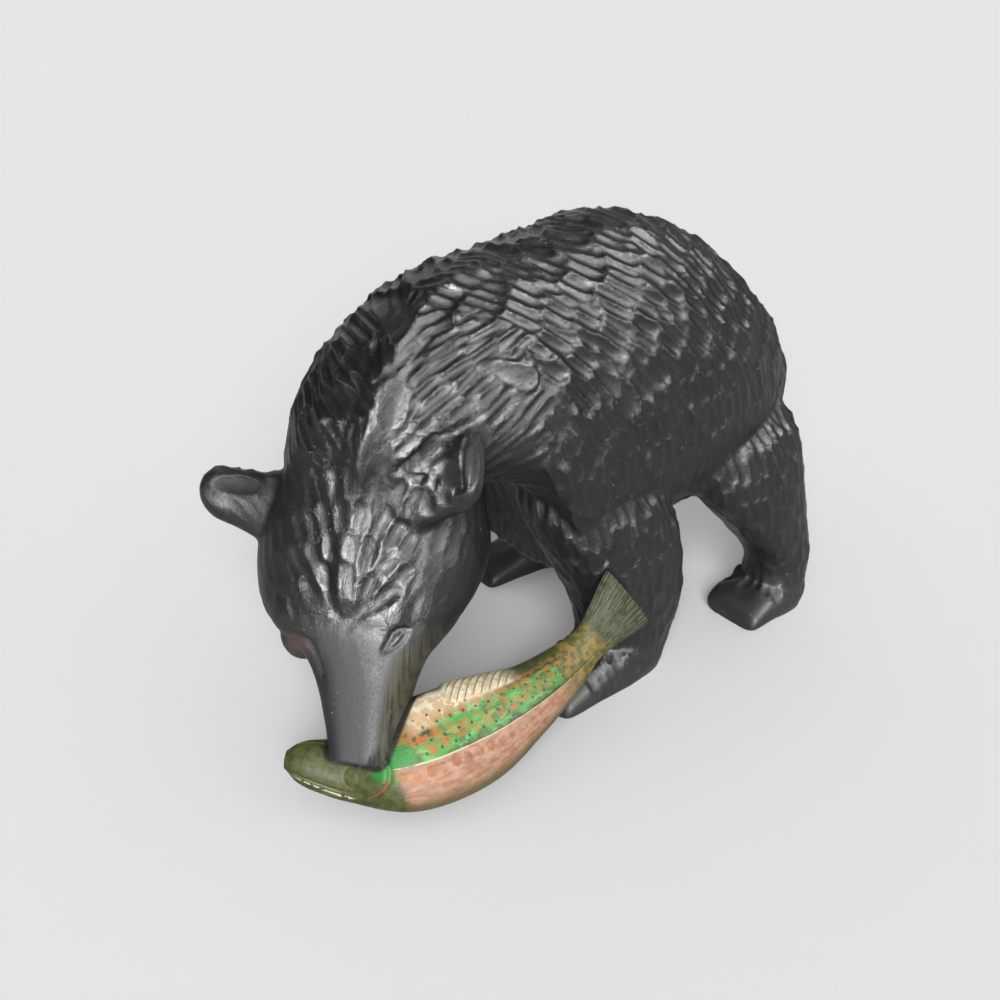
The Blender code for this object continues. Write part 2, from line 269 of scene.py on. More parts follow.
def trunk_and_head():
    crown, side, up, along = head_frame()
    rows = list(BODY_STATIONS)
    for reach, across, half_width, depth, boxiness in HEAD_STATIONS:
        centre = crown + along * reach + side * across - up * (depth / 2)
        rows.append((*centre, half_width, depth / 2, HEAD_TURN, HEAD_STOOP, boxiness))
    sections = []
    for x, y, z, half_width, half_height, turn, stoop, boxiness in smooth_rows(rows):
        side, up, _ = heading(turn, stoop)
        sections.append(oval((x, y, z), side, up, half_width, half_height, boxiness, egg=0.08))
    return loft(sections)


def leg(stations):
    sections = []
    for x, y, z, half_width, half_depth in smooth_rows(stations):
        sections.append(
            oval((x, y, z), Vector((1, 0, 0)), Vector((0, 1, 0)), half_width, half_depth, 2.5)
        )
    return loft(sections)


def foot(x, y, length, turn, width):
    side, up, ahead = heading(turn, 0)
    toe = Vector((x, y, 0))
    sections = []
    for share, z, half_width, half_height in smooth_rows(FOOT):
        centre = toe - ahead * (share * length) + up * z * width
        sections.append(oval(centre, side, up, half_width * width, half_height * width, boxiness=2.8))
    return loft(sections)


def lump(reach, across, back, half_length, half_width, half_depth):
    crown, side, up, along = head_frame()
    middle = crown + along * reach + side * across - up * back
    sections = []
    for k in range(1, 12):
        angle = math.pi * k / 12
        centre = middle - along * (math.cos(angle) * half_length)
        share = math.sin(angle)
        sections.append(oval(centre, side, up, half_width * share, half_depth * share, 2))
    return loft(sections)


def ear(root, tip, sign, width):
    crown, side, up, along = head_frame()
    root, tip = (
        crown + along * lower - up * back + side * sign * out for lower, back, out in (root, tip)
    )
    rows = [(*root.lerp(tip, share), wide * width, deep) for share, wide, deep in EAR]
    return loft([oval(row[:3], along, up, row[3], row[4]) for row in smooth_rows(rows)])


def trout_frame(rows, i):
    """The vectors out to the flank, to the back and along the trout at one of its rows."""
    before, after = rows[max(i - 1, 0)], rows[min(i + 1, len(rows) - 1)]
    along = (Vector(after[:3]) - Vector(before[:3])).normalized()
    level = along.cross(Vector((0, 0, 1))).normalized()  # out to the left of the bear
    roll = math.radians(rows[i][5])
    back = level.cross(along) * math.cos(roll) - level * math.sin(roll)
    return back.cross(along), back, along


def trout():
    rows = smooth_rows(TROUT_STATIONS)
    sections = []
    for i, row in enumerate(rows):
        flank, back, _ = trout_frame(rows, i)
        sections.append(oval(row[:3], flank, back, row[3], row[4], boxiness=2.0))
    return loft(sections)


def placed(name, data):
    """A new object in the scene."""
    item = bpy.data.objects.new(name, data)
    bpy.context.scene.collection.objects.link(item)
    return item


def joined(shapes, name):
    """One object that holds several closed shapes."""
    whole = bmesh.new()
    for shape in shapes:
        mesh = bpy.data.meshes.new("piece")
        shape.to_mesh(mesh)
        shape.free()
        whole.from_mesh(mesh)
        bpy.data.meshes.remove(mesh)
    mesh = bpy.data.meshes.new(name)
    whole.to_mesh(mesh)
    whole.free()
    return placed(name, mesh)


def settle(item):
    """Replaces an object's mesh by what its modifiers make of it."""
    bpy.context.view_layer.update()
    graph = bpy.context.evaluated_depsgraph_get()
    mesh = bpy.data.meshes.new_from_object(item.evaluated_get(graph))
    old = item.data
    item.modifiers.clear()
    item.data = mesh
    bpy.data.meshes.remove(old)


def one_block(item, grain, rounds):
    """Voxels make the lofts one block, and a few rounds take off the steps."""
    remesh = item.modifiers.new("Block", "REMESH")
    remesh.mode = "VOXEL"
    remesh.voxel_size = grain
    smooth = item.modifiers.new("Round", "SMOOTH")
    smooth.factor = 0.5
    smooth.iterations = rounds
    settle(item)


def trout_reach(points):
    """How far out each point lies in the trout's own section: under 1 inside the plain loft."""
    rows = smooth_rows(TROUT_STATIONS)
    reach = np.full(len(points), 99.0)
    for i, row in enumerate(rows):
        flank, back, along = as_arrays(trout_frame(rows, i))
        gap = points - row[:3]
        out = np.sqrt((gap @ flank / row[3]) ** 2 + (gap @ back / row[4]) ** 2)
        near = np.abs(gap @ along) < 3.0
        reach = np.where(near, np.minimum(out, reach), reach)
    return reach


def head_places(points):
    """Each point in the head's own frame: along the face, across to the left, back from the face."""
    crown, side, up, along = as_arrays(head_frame())
    gap = points - crown
    return np.stack([gap @ along, gap @ side, -(gap @ up)], axis=1)


def fur(points, normals):
    """Which kind of stroke each point takes (an index into STROKES, or -1) and which way it runs."""
    x, y, z = points.T
    reach, across, back = head_places(points).T
    _, side, _, along = as_arrays(head_frame())
    kind = np.full(len(points), 0)
    flow = np.zeros((len(points), 3))
    drop = np.clip((180 - z) / 65, 0, 1)
    flow[:, 0] = np.sign(x) * (0.95 - 0.85 * drop)
    flow[:, 1] = 0.75 - 0.4 * drop
    flow[:, 2] = -1.1 * drop

    def lay(where, name, way):
        kind[where] = -1 if name is None else list(STROKES).index(name)
        flow[where] = np.broadcast_to(way, flow.shape)[where]

    lay(z < 84, "leg", (0, 0.25, -1))
    lay((z < 62) & (normals[:, 2] < -0.6), "under", (0.2, 1, 0))
    part = np.clip((across - np.where(reach < -20, 10, 2)) / 9, -1, 1)
    lay((reach > -62) & (y < -20), "neck", -0.9 * along + side * part[:, None])
    on_head = (reach > -6) & (y < HEAD_STARTS_AT)
    lay(on_head, "head", side * (across / 40)[:, None] - along)
    lay(on_head & ((reach > 60) | (back > 58)), None, (0, 0, 1))
    lay((z < 13) | ((z < 24) & (np.abs(normals[:, 2]) > 0.75)), None, (0, 0, 1))
    kind[trout_reach(points) < 1.25] = -1
    flow -= normals * np.sum(flow * normals, axis=1)[:, None]
    size = np.linalg.norm(flow, axis=1)
    kind[size < 0.05] = -1
    return kind, flow / np.maximum(size, 1e-6)[:, None]


def strewn_strokes(points, normals, seed, laid=None, sizes=None, room=(0.52, 1.25)):
    """Strokes that overlap all over, after those already laid: middles, frames (way, across, outward)
    and spans (half width, length, depth). Room is the shares of length and half width between two."""
    rng = np.random.default_rng(seed)
    kind, flow = fur(points, normals)
    sizes = np.array(sizes or list(STROKES.values()), float)
    spots, frames, spans = (np.zeros((MOST_STROKES, *size)) for size in ((3,), (3, 3), (3,)))
    count = 0
    if laid:
        count = len(laid[0])
        spots[:count], frames[:count], spans[:count] = laid
    for i in rng.permutation(len(points))[:TRIES]:
        if kind[i] < 0:
            continue
        local = np.einsum("nij,nj->ni", frames[:count], points[i] - spots[:count])
        half_width, length = spans[:count, 0], spans[:count, 1]
        gap = (local[:, 0] / (length * room[0])) ** 2 + (local[:, 1] / (half_width * room[1])) ** 2
        if (gap + (local[:, 2] / length) ** 2 < 1).any():
            continue
        spots[count] = points[i]
        frames[count] = flow[i], np.cross(normals[i], flow[i]), normals[i]
        spans[count] = sizes[kind[i]]
        count += 1
    return spots[:count], frames[:count], spans[:count]


def point_tree(points):
    """Finds the points near a place."""
    tree = KDTree(len(points))
    for i, point in enumerate(points):
        tree.insert(point, i)
    tree.balance()
    return tree


def stroke_cuts(points, normals, strokes):
    """How deep each point is cut, and where it lies across the scoop that cuts it deepest."""
    tree = point_tree(points)
    skin = trout_reach(points) > TROUT_SKIN
    cuts, lanes = np.zeros(len(points)), np.zeros(len(points))
    for number, (spot, (flow, cross, outward), (half_width, length, cut)) in enumerate(zip(*strokes)):
        near = np.array([j for _, j, _ in tree.find_range(spot, length * 0.62)], int)
        if not len(near):
            continue
        step = points[near] - spot
        u = (step @ flow) / length + 0.5
        rise = np.sin(np.clip(u / SCOOP_DEEPEST, 0, 1) * math.pi / 2)
        fall = np.clip(u - SCOOP_DEEPEST, 0, 1) / (1 - SCOOP_DEEPEST)
        fall = np.sqrt(np.clip(1 - fall**2, 0, 1))
        scoop = cut * (rise * fall - ((step @ cross) / half_width) ** 2)
        scoop[(u < 0) | (u > 1) | (normals[near] @ outward < 0.3) | ~skin[near]] = 0
        deeper = scoop > cuts[near]
        lanes[near[deeper]] = (step @ cross)[deeper] + LANE_STEP * (number % 7)
        cuts[near] = np.maximum(cuts[near], scoop)
    return cuts, lanes


# How each broad stroke is cut again with a narrow gouge: strokes side by side, half width, share of
# its length, depth
NARROW = {
    "back": (2, 3.3, 0.85, 1.6),
    "neck": (3, 2.9, 1.15, 1.6),
    "head": (2, 3.9, 1.1, 1.7),
    "leg": (2, 3.2, 0.8, 1.3),
    "under": (2, 3.8, 0.8, 0.7),
}
# Single strokes that show: middle, way, half width, length, depth
WIDE_STROKES = (
    ((39.4, -28.9, 159), (0.25, 0.85, -0.45), 5.8, 25, 1.4),  # the broad facet on the shoulder
    ((27, -77, 140), (0.12, -0.35, -0.9), 7.5, 30, 1.2),
    ((31, -76, 124), (0.1, -0.3, -0.9), 7, 26, 1.0),
    ((27, -68, 157), (0.2, -0.6, -0.75), 7, 24, 1.2),
    ((36.0, -66.1, 133.1), (0.45, -0.2, -0.85), 4, 12, 1.4),
    ((40.0, -63.0, 138.0), (0.45, -0.1, -0.85), 3.6, 12, 1.6),
    ((38.5, -58.0, 140.0), (0.4, 0.1, -0.9), 4.2, 11, 1.8),
    ((41.5, -70.4, 121.0), (0.3, -0.2, -0.9), 4, 14, 1.5),
    ((45.2, -66.2, 124.7), (0.2, -0.1, -1.0), 4, 13, 1.3),
)
# The fan of leaf-shaped strokes on the forehead: its root in the head's own frame, along the face,
# across and out from it, then rows of distance from the root and turns in degrees, and half width
FAN_ROOT = (52, 1.5, 5)
FAN_ROWS = (
    (8, (-30, 0, 30)),
    (17, (-48, -24, 0, 24, 48)),
    (28, (-45, -30, -15, 0, 15, 30, 45)),
    (39, (-36, -26, -16, -5, 5, 16, 26, 36)),
    (50, (-25, -17, -8, 0, 8, 17, 25)),
)
LEAF_HALF_WIDTH = 3.9
# The parting that runs up the face and the neck, in the carver's axes
PARTING = (
    (26.3, -91.8, 84.7),
    (22, -88, 104),
    (18.4, -81.4, 122.8),
    (20.4, -74, 150.4),
    (13.8, -59.7, 169.3),
    (8.5, -43.5, 180.5),
    (4.3, -13.1, 187.6),
)
# Knife lines on the face, along it and across: points, depth, half width, fade on the lower side
FACE_LINES = (
    (((57.5, 15.5), (54.9, 16.7), (51.6, 18.0), (50.1, 20.1), (49.8, 22.2)), 1.3, 0.8, 1.6),
    (((57.8, 16.8), (56.7, 18.9), (54.3, 21.1), (51.4, 22.5)), 0.9, 0.7, 0.9),
    (((-8, 16.6), (-15, 23.9), (-20.4, 27.5), (-22.4, 33.9)), 0.9, 0.6, 2.5),
    (((-23, 38.5), (-16, 38.6), (-9, 38.8), (-4, 40)), 1.1, 0.7, 0.7),
    (
        ((56.8, -18.6), (56.8, -15.8), (58.0, -12.5), (60.7, -10.2), (65, -8.2), (70, -6.5)),
        1.5, 0.6, 3.0,
    ),
)
# Hollows and one swelling, of the ears: the middle along the face, across and back, half sizes along
# and across, depth, steepness, and how much painted shade darkens its colour
HOLLOWS = (
    ((-13, 30, -3), 9.5, 8.5, 3.0, 1.0, 0),
    ((-8.0, 34.8, -3), 5.6, 4.0, 4, 0.7, 1),
    ((-14, 42.5, 9), 13, 6.0, -0.3, 1.0, 0.9),
    ((8, -50, 12), 4, 11, 3, 0.7, 0.5),
)


def read_mesh(mesh):
    """The points and the outward directions of a mesh, in the carver's unit."""
    points, normals = (np.empty(len(mesh.vertices) * 3, np.float32) for _ in range(2))
    mesh.vertices.foreach_get("co", points)
    mesh.vertices.foreach_get("normal", normals)
    return points.reshape(-1, 3).astype(float) / U, normals.reshape(-1, 3).astype(float)


def write_mesh(mesh, points):
    mesh.vertices.foreach_set("co", (points * U).astype(np.float32).ravel())
    mesh.update()


def store(mesh, name, values):
    """Keeps one number for each point, for the finish to read."""
    layer = mesh.attributes.new(name, "FLOAT", "POINT")
    layer.data.foreach_set("value", np.asarray(values, np.float32))


def step_between(low, high, values):
    t = np.clip((values - low) / (high - low), 0, 1)
    return t * t * (3 - 2 * t)


def line_gap(points, line):
    """Distance of each point from a line of straight pieces, and the side on which it lies."""
    best = np.full(len(points), 1e9)
    side = np.zeros(len(points))
    line = np.array(line, float)
    for a, b in zip(line, line[1:]):
        way = b - a
        t = np.clip((points - a) @ way / (way @ way), 0, 1)
        gap = points - a - t[:, None] * way
        distance = np.linalg.norm(gap, axis=1)
        closer = distance < best
        best[closer] = distance[closer]
        if points.shape[1] == 2:
            side[closer] = np.sign(way[0] * gap[closer, 1] - way[1] * gap[closer, 0])
    return best, side


def bear_shapes():
    shapes = [trunk_and_head(), ear(*LEFT_EAR), ear(*RIGHT_EAR)]
    shapes += [leg(row) for row in (LEFT_FRONT_LEG, RIGHT_FRONT_LEG, LEFT_HIND_LEG, RIGHT_HIND_LEG)]
    shapes += [foot(*place) for place in FEET.values()]
    return shapes + [lump(*row) for row in LUMPS]


def broad_strokes(seed):
    """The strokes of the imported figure, laid on the same rough block."""
    trunk, *others = bear_shapes()
    block = joined([trunk, trout(), *others], "rough_block")
    one_block(block, COARSE_GRAIN, 4)
    strokes = strewn_strokes(*read_mesh(block.data), seed)
    bpy.data.objects.remove(block)
    return strokes


def narrow_strokes(strokes, seed):
    """Each broad stroke as a few narrow ones side by side, whose ends step down a little."""
    rng = np.random.default_rng(seed)
    kinds = list(NARROW.values())
    sizes = np.array(list(STROKES.values()))
    spots, frames, spans = [], [], []
    for spot, way, span in zip(*strokes):
        count, half_width, share, depth = kinds[int(np.abs(sizes - span).sum(axis=1).argmin())]
        slope = rng.uniform(-1.6, 1.6)
        for k in range(count):
            place = k - (count - 1) / 2
            push = place * slope + rng.uniform(-1.2, 1.2)
            spots.append(spot + way[1] * place * half_width * 1.6 + way[0] * push)
            frames.append(way)
            length = span[1] * share * rng.uniform(0.88, 1.1)
            spans.append((half_width * rng.uniform(0.9, 1.15), length, depth * rng.uniform(0.75, 1.2)))
    return np.array(spots), np.array(frames), np.array(spans)


def forehead_leaves():
    """Leaf-shaped strokes that fan up the forehead from a point between the eyes."""
    crown, side, up, along = as_arrays(head_frame())
    reach, across, out = FAN_ROOT
    root = crown + along * reach + side * across + up * out
    rng = np.random.default_rng(23)
    leaves = []
    for far, turns in FAN_ROWS:
        for turn in turns:
            turn = math.radians(turn + rng.uniform(-1.5, 1.5))
            way = side * math.sin(turn) - along * math.cos(turn)
            middle = root + way * (far + rng.uniform(-2, 2))
            length, depth = rng.uniform(16, 20), rng.uniform(1.2, 1.8)
            leaves.append((middle, way, LEAF_HALF_WIDTH, length, depth))
    return leaves


def wide_strokes(points, normals):
    spots, frames, spans = [], [], []
    for spot, way, half_width, length, depth in list(WIDE_STROKES) + forehead_leaves():
        nearest = np.linalg.norm(points - spot, axis=1).argmin()
        out = normals[nearest]
        flow = np.array(way) - out * (out @ way)
        flow /= np.linalg.norm(flow)
        spots.append(points[nearest])
        frames.append((flow, np.cross(out, flow), out))
        spans.append((half_width, length, depth))
    return np.array(spots), np.array(frames), np.array(spans)


def face_cuts(points, normals):
    """Knife lines of the eyes and brow."""
    places = head_places(points)
    outward = normals @ np.array(head_frame()[2])
    front = (outward > 0.05) & (places[:, 2] < 30)
    depth = np.zeros(len(points))
    for line, cut, half_width, fade in FACE_LINES:
        gap, side = line_gap(places[:, :2], line)
        reach = np.where(side < 0, fade, half_width)
        depth = np.maximum(depth, cut * np.exp(-((gap / reach) ** 2)) * front)
    return depth


def hollows(points, normals):
    """Pits pressed straight back into the ears."""
    places = head_places(points)
    inward = -np.array(head_frame()[2])
    shift = np.zeros(len(points))
    for middle, half_length, half_width, depth, steepness, _ in HOLLOWS:
        gap = (places - middle) / (half_length, half_width, 12)
        r = (gap**2).sum(axis=1)
        shift += depth * np.clip(1 - r, 0, 1) ** steepness * (normals @ -inward > -0.2)
    return shift[:, None] * inward


def crest(points):
    """How far the parting stands up as a sharp ridge."""
    gap, _ = line_gap(points, PARTING)
    return 2.8 * np.clip(1 - gap / 8, 0, 1)


def curvature(mesh):
    """Ridges above nought and grooves below it, from the lie of each point's neighbours."""
    points, normals = read_mesh(mesh)
    ends = np.empty(len(mesh.edges) * 2, np.int32)
    mesh.edges.foreach_get("vertices", ends)
    a, b = ends.reshape(-1, 2).T
    here, there = np.concatenate([a, b]), np.concatenate([b, a])
    count = np.maximum(np.bincount(here, minlength=len(points)), 1)

    def averaged(values):
        return np.bincount(here, values[there], len(points)) / count

    smooth = points
    for _ in range(3):
        smooth = np.stack([averaged(column) for column in smooth.T], axis=1)
    lift = averaged(np.sum((points - smooth) * normals, axis=1))
    return np.clip(lift / 0.25, -1, 1)


def flat_soles(item):
    """Cuts the feet off at the floor and closes them."""
    shape = bmesh.new()
    shape.from_mesh(item.data)
    every = shape.verts[:] + shape.edges[:] + shape.faces[:]
    cut = bmesh.ops.bisect_plane(
        shape, geom=every, plane_co=(0, 0, 0), plane_no=(0, 0, 1), clear_inner=True
    )
    edges = [piece for piece in cut["geom_cut"] if isinstance(piece, bmesh.types.BMEdge)]
    bmesh.ops.contextual_create(shape, geom=edges)
    bmesh.ops.triangulate(shape, faces=shape.faces)
    bmesh.ops.recalc_face_normals(shape, faces=shape.faces)
    shape.to_mesh(item.data)
    shape.free()


def on_the_frame(item):
    """Moves a piece from the carver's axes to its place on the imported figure."""
    item.data.transform(Matrix.Translation((-MIDDLE[0] * U, -MIDDLE[1] * U, 0)))


def tinted_places(mesh):
    """Where the stain differs: the olive side of the muzzle, the rusty cheek, the smooth parts; and
    where shade is painted, in the ear hollows and on the muzzle where it closes on the trout.
    """
    points, normals = read_mesh(mesh)
    places = head_places(points)
    reach, across, back = places.T
    ahead = points[:, 1] < HEAD_STARTS_AT
    leftward = normals @ np.array(head_frame()[1])
    on_face = step_between(46, 62, reach) * step_between(60, 40, back)
    store(mesh, "olive", on_face * step_between(0.35, 0.75, leftward))
    rust = np.exp(-(((reach - 62) / 4.5) ** 4) - ((across + 19) / 5.5) ** 4)
    rust *= line_gap(places[:, :2], FACE_LINES[-1][0])[1] < 0
    store(mesh, "rust", rust * (back < 30))
    paw = step_between(24, 10, points[:, 2])
    muzzle = step_between(46, 60, reach) * (points[:, 1] < -60)
    temple = step_between(16, 26, np.abs(across - 3)) * step_between(-4, 8, reach) * ahead
    store(mesh, "smooth", np.clip(muzzle + paw + 0.35 * temple, 0, 1))
    # painted shade: darkens the muzzle just outside the trout, where the jaws close on it
    dark = step_between(1.5, 1.3, trout_reach(points)) * (reach > 82)
    # painted shade in the ear hollows, as dark as each hollow's last column says
    for middle, half_length, half_width, depth, _, darkness in HOLLOWS:
        gap = places - np.array(middle) - (0, 0, depth)
        gap = gap / (half_length, half_width, abs(depth) + 8)
        dark = np.maximum(dark, darkness * step_between(1.2, 0.7, (gap**2).sum(axis=1)))
    store(mesh, "hollow", dark)
    store(mesh, "along_face", reach)
    store(mesh, "across_face", across)


def bear_mesh(shape):
    """The bear: its block, the strokes, face and ears cut into it, thinned, on flat soles."""
    broad = broad_strokes(7)
    bear = joined(bear_shapes(), "bear")
    one_block(bear, shape.grain, shape.rounding)
    points, normals = read_mesh(bear.data)
    reach, across, back = head_places(points).T
    ahead = points[:, 1] < HEAD_STARTS_AT
    wide, _ = stroke_cuts(points, normals, wide_strokes(points, normals))
    # the other strokes keep off the wide ones and the forehead's fan, and fade on the face
    fan = step_between(-7, -2, reach) * step_between(52, 47, reach)
    fan *= step_between(24, 18, np.abs(across - FAN_ROOT[1])) * ahead * (back > -16)
    keep = np.clip(1 - wide / 0.7, 0.1, 1) * (1 - 0.96 * fan)
    cuts = shape.broad_share * stroke_cuts(points, normals, broad)[0] * np.maximum(keep, 0.4)
    sizes = [(half_width, 17 * share + 2, depth) for _, half_width, share, depth in NARROW.values()]
    narrow = strewn_strokes(points, normals, 5, narrow_strokes(broad, 11), sizes, (0.5, 1.12))
    scoops, lanes = stroke_cuts(points, normals, narrow)
    cuts += shape.narrow_share * scoops * keep
    sides = np.maximum(step_between(18, 25, np.abs(across - 3)), step_between(14, 26, back))
    face = np.maximum(0.6 * sides, 0.9 * step_between(44, 54, reach))
    face *= step_between(-4, 10, reach) * ahead
    cuts *= (1 - face) * (0.55 + 0.45 * step_between(0, 0.6, normals[:, 2]))
    cuts += wide + face_cuts(points, normals) - crest(points)
    points -= normals * cuts[:, None]
    points += hollows(points, normals)
    write_mesh(bear.data, points)
    thin = bear.modifiers.new("Thin", "DECIMATE")
    thin.ratio = min(1, shape.triangles / (2 * len(bear.data.polygons)))
    settle(bear)
    flat_soles(bear)
    store(bear.data, "ridge", curvature(bear.data))
    tree = point_tree(points)
    nearest = [tree.find(point)[1] for point in read_mesh(bear.data)[0]]
    store(bear.data, "lane", lanes[nearest])
    tinted_places(bear.data)
    return bear


# ---- the trout

TROUT_STEP = 0.55  # size of its facets
TROUT_SIDES = 190
# On its skin, the distance from the snout and the rise round the section in degrees
TROUT_EYE = (26, -14)
FIN_EDGES = (66, 70, 90, 100)
FIN_RAYS = (0.24, 3.4)  # lean and pitch


def trout_sections():
    """Rows of the trout about a facet apart, with the distance of each from the snout."""
    rows = smooth_rows(TROUT_STATIONS, 48)
    far = np.concatenate([[0], np.cumsum(np.linalg.norm(np.diff(rows[:, :3], axis=0), axis=1))])
    places = np.append(np.arange(0, far[-1], TROUT_STEP), far[-1])
    return np.stack([np.interp(places, far, column) for column in rows.T], axis=1), places


def gill_line(rise):
    """How far from the snout the edge of the gill cover lies."""
    return 41 - 0.006 * ((rise + 8) * (rise + 8))


def trout_relief(along, rise):
    """How far the trout's skin stands out: fins, gill cover, mouth, eye and side line."""
    start, full, fading, end = FIN_EDGES
    lean, pitch = FIN_RAYS
    back_fin = step_between(start, full, along) * step_between(end, fading, along)
    back_fin *= step_between(34, 40, rise)
    rays = 0.5 + 0.5 * np.cos(math.tau * (along - lean * rise) / pitch)
    lift = back_fin * (0.7 + 0.45 * rays * step_between(40, 50, rise))
    gill_at = gill_line(rise)
    edge = np.exp(-(((along - gill_at) / 0.9) ** 2))
    lift -= 0.7 * edge * step_between(30, 20, np.abs(rise + 8) / 2)
    lift += 0.5 * step_between(gill_at - 7, gill_at, along) * (along < gill_at)
    mouth = np.exp(-(((rise + 44) / 4) ** 2)) * step_between(28, 20, along)
    lift -= 0.5 * mouth * step_between(2, 5, along)
    eye = ((along - TROUT_EYE[0]) / 2.8) ** 2 + ((rise - TROUT_EYE[1]) / 13) ** 2
    lift += 0.15 * np.exp(-(eye**3)) - 0.12 * np.exp(-(((eye - 1.7) / 0.5) ** 2))
    side_line = 0.35 * np.exp(-(((rise + 13 + (along - 50) * 0.06) / 2.2) ** 2))
    lift -= side_line * step_between(42, 48, along) * step_between(140, 125, along)
    return lift + step_between(136, 146, along) * 0.35 * np.cos(math.tau * rise / 11)


def trout_mesh():
    rows, places = trout_sections()
    count, sides = len(rows), TROUT_SIDES
    turn = np.arange(sides) * math.tau / sides
    rise = np.degrees(np.arcsin(np.clip(np.sin(turn), -1, 1)))
    points = []
    for row, far, i in zip(rows, places, range(count)):
        flank, back, _ = as_arrays(trout_frame(rows, i))
        # the flank that faces up and forward comes first
        over, up = np.outer(np.cos(turn), -flank), np.outer(np.sin(turn), back)
        face = over / row[3] + up / row[4]
        face /= np.linalg.norm(face, axis=1)[:, None]
        lift = trout_relief(np.full(sides, far), rise)
        lift *= step_between(0, 6, far) * np.minimum(1, row[3] / 4)
        points.append(row[:3] + (over * row[3] + up * row[4]) + face * lift[:, None])
    points = np.vstack(points + [rows[0, :3], rows[-1, :3]])
    ring = np.arange(sides)
    after = (ring + 1) % sides
    faces = []
    for a in range(0, (count - 1) * sides, sides):
        faces += zip(a + ring, a + after, a + sides + after, a + sides + ring)
    faces += zip(after, ring, np.full(sides, count * sides))
    last = (count - 1) * sides
    faces += zip(last + ring, last + after, np.full(sides, count * sides + 1))
    mesh = bpy.data.meshes.new("trout")
    mesh.from_pydata((points * U).tolist(), [], [tuple(int(k) for k in face) for face in faces])
    store(mesh, "along", np.append(np.repeat(places, sides), [0, places[-1]]))
    store(mesh, "rise", np.append(np.tile(rise, count), [0, 0]))
    return placed("trout", mesh)


def gap_between(item, other):
    """Distance of each point of one piece from the surface of another, in the carver's unit."""
    tree = BVHTree.FromObject(other, bpy.context.evaluated_depsgraph_get())
    gaps = np.full(len(item.data.vertices), 9.0)
    for i, vertex in enumerate(item.data.vertices):
        hit = tree.find_nearest(vertex.co, 9 * U)
        if hit[0] is not None:
            inside = (vertex.co - hit[0]).dot(hit[1]) < 0
            gaps[i] = 0 if inside else hit[3] / U
    return gaps


# ---- finishes


def maths(operation, swapped=False):
    """A method that sends a wire, and the values after it, through one maths node."""

    def method(self, *values):
        values = (*values, self) if swapped else (self, *values)
        return self.finish.node("ShaderNodeMath", {"operation": operation}, dict(enumerate(values)))

    return method


class Wire:
    """An output socket, so that shader maths is written as an expression."""

    def __init__(self, finish, socket):
        self.finish = finish
        self.socket = socket

    __add__, __radd__ = maths("ADD"), maths("ADD", swapped=True)
    __sub__, __rsub__ = maths("SUBTRACT"), maths("SUBTRACT", swapped=True)
    __mul__, __rmul__ = maths("MULTIPLY"), maths("MULTIPLY", swapped=True)
    __truediv__, __pow__, __abs__ = maths("DIVIDE"), maths("POWER"), maths("ABSOLUTE")
    floor, part, most = maths("FLOOR"), maths("FRACT"), maths("MAXIMUM")

    def between(self, low, high):
        """0 at low and beyond, 1 at high and beyond, smoothly; low may be the larger."""
        values = {"Value": self, "From Min": low, "From Max": high}
        return self.finish.node("ShaderNodeMapRange", {"interpolation_type": "SMOOTHSTEP"}, values)

    def within(self, start, full, fading, end):
        """0 up to start, 1 from full to fading and 0 from end on, smoothly."""
        return self.between(start, full) * self.between(end, fading)


def rgba(colour):
    """What a colour's socket takes: a wire as it is, or three numbers and an alpha."""
    return colour if isinstance(colour, Wire) else (*colour, 1.0)


class Finish:
    """The nodes of one material."""

    def __init__(self, name):
        self.material = bpy.data.materials.new(name)
        self.material.use_nodes = True
        self.tree = self.material.node_tree
        self.tree.nodes.clear()

    def node(self, kind, settings=None, values=None, output=0):
        """Adds a node, sets it up, fills its sockets with numbers or wires and gives one output."""
        node = self.tree.nodes.new(kind)
        for name, setting in (settings or {}).items():
            setattr(node, name, setting)
        for name, value in (values or {}).items():
            if isinstance(value, Wire):
                self.tree.links.new(value.socket, node.inputs[name])
            else:
                node.inputs[name].default_value = value
        return Wire(self, node.outputs[output]) if node.outputs else None

    def kept(self, *names):
        """The numbers that the mesh keeps for each point under these names."""
        wires = [
            self.node("ShaderNodeAttribute", {"attribute_name": name}, output="Fac") for name in names
        ]
        return wires if len(wires) > 1 else wires[0]

    def place(self):
        return self.node("ShaderNodeTexCoord", output="Object")

    def vector(self, x, y, z=0.0):
        return self.node("ShaderNodeCombineXYZ", values={"X": x, "Y": y, "Z": z})

    def noise(self, place, scale, detail=3.0, roughness=0.55):
        values = {"Vector": place, "Scale": scale, "Detail": detail, "Roughness": roughness}
        return self.node("ShaderNodeTexNoise", {"noise_dimensions": "3D"}, values)

    def cells(self, place, scale, output="Distance"):
        return self.node("ShaderNodeTexVoronoi", None, {"Vector": place, "Scale": scale}, output)

    def chance(self, place):
        """A number from 0 to 1 that is fixed for each whole place."""
        return self.node("ShaderNodeTexWhiteNoise", {"noise_dimensions": "2D"}, {"Vector": place})

    def mix(self, share, first, second):
        values = {"Factor": share, 6: rgba(first), 7: rgba(second)}
        return self.node("ShaderNodeMix", {"data_type": "RGBA"}, values, output=2)

    def coats(self, colour, *coats):
        """A colour under coats of other colours, each with the share of it that covers."""
        for share, tint in coats:
            colour = self.mix(share, colour, tint)
        return colour

    def bump(self, height, distance):
        values = {"Height": height, "Distance": distance, "Strength": 1.0}
        return self.node("ShaderNodeBump", values=values)

    def done(self, **sockets):
        """The material, which ends in a shader with these sockets."""
        named = {name.replace("_", " "): value for name, value in sockets.items()}
        shader = self.node("ShaderNodeBsdfPrincipled", values=named, output="BSDF")
        self.node("ShaderNodeOutputMaterial", values={"Surface": shader})
        return self.material


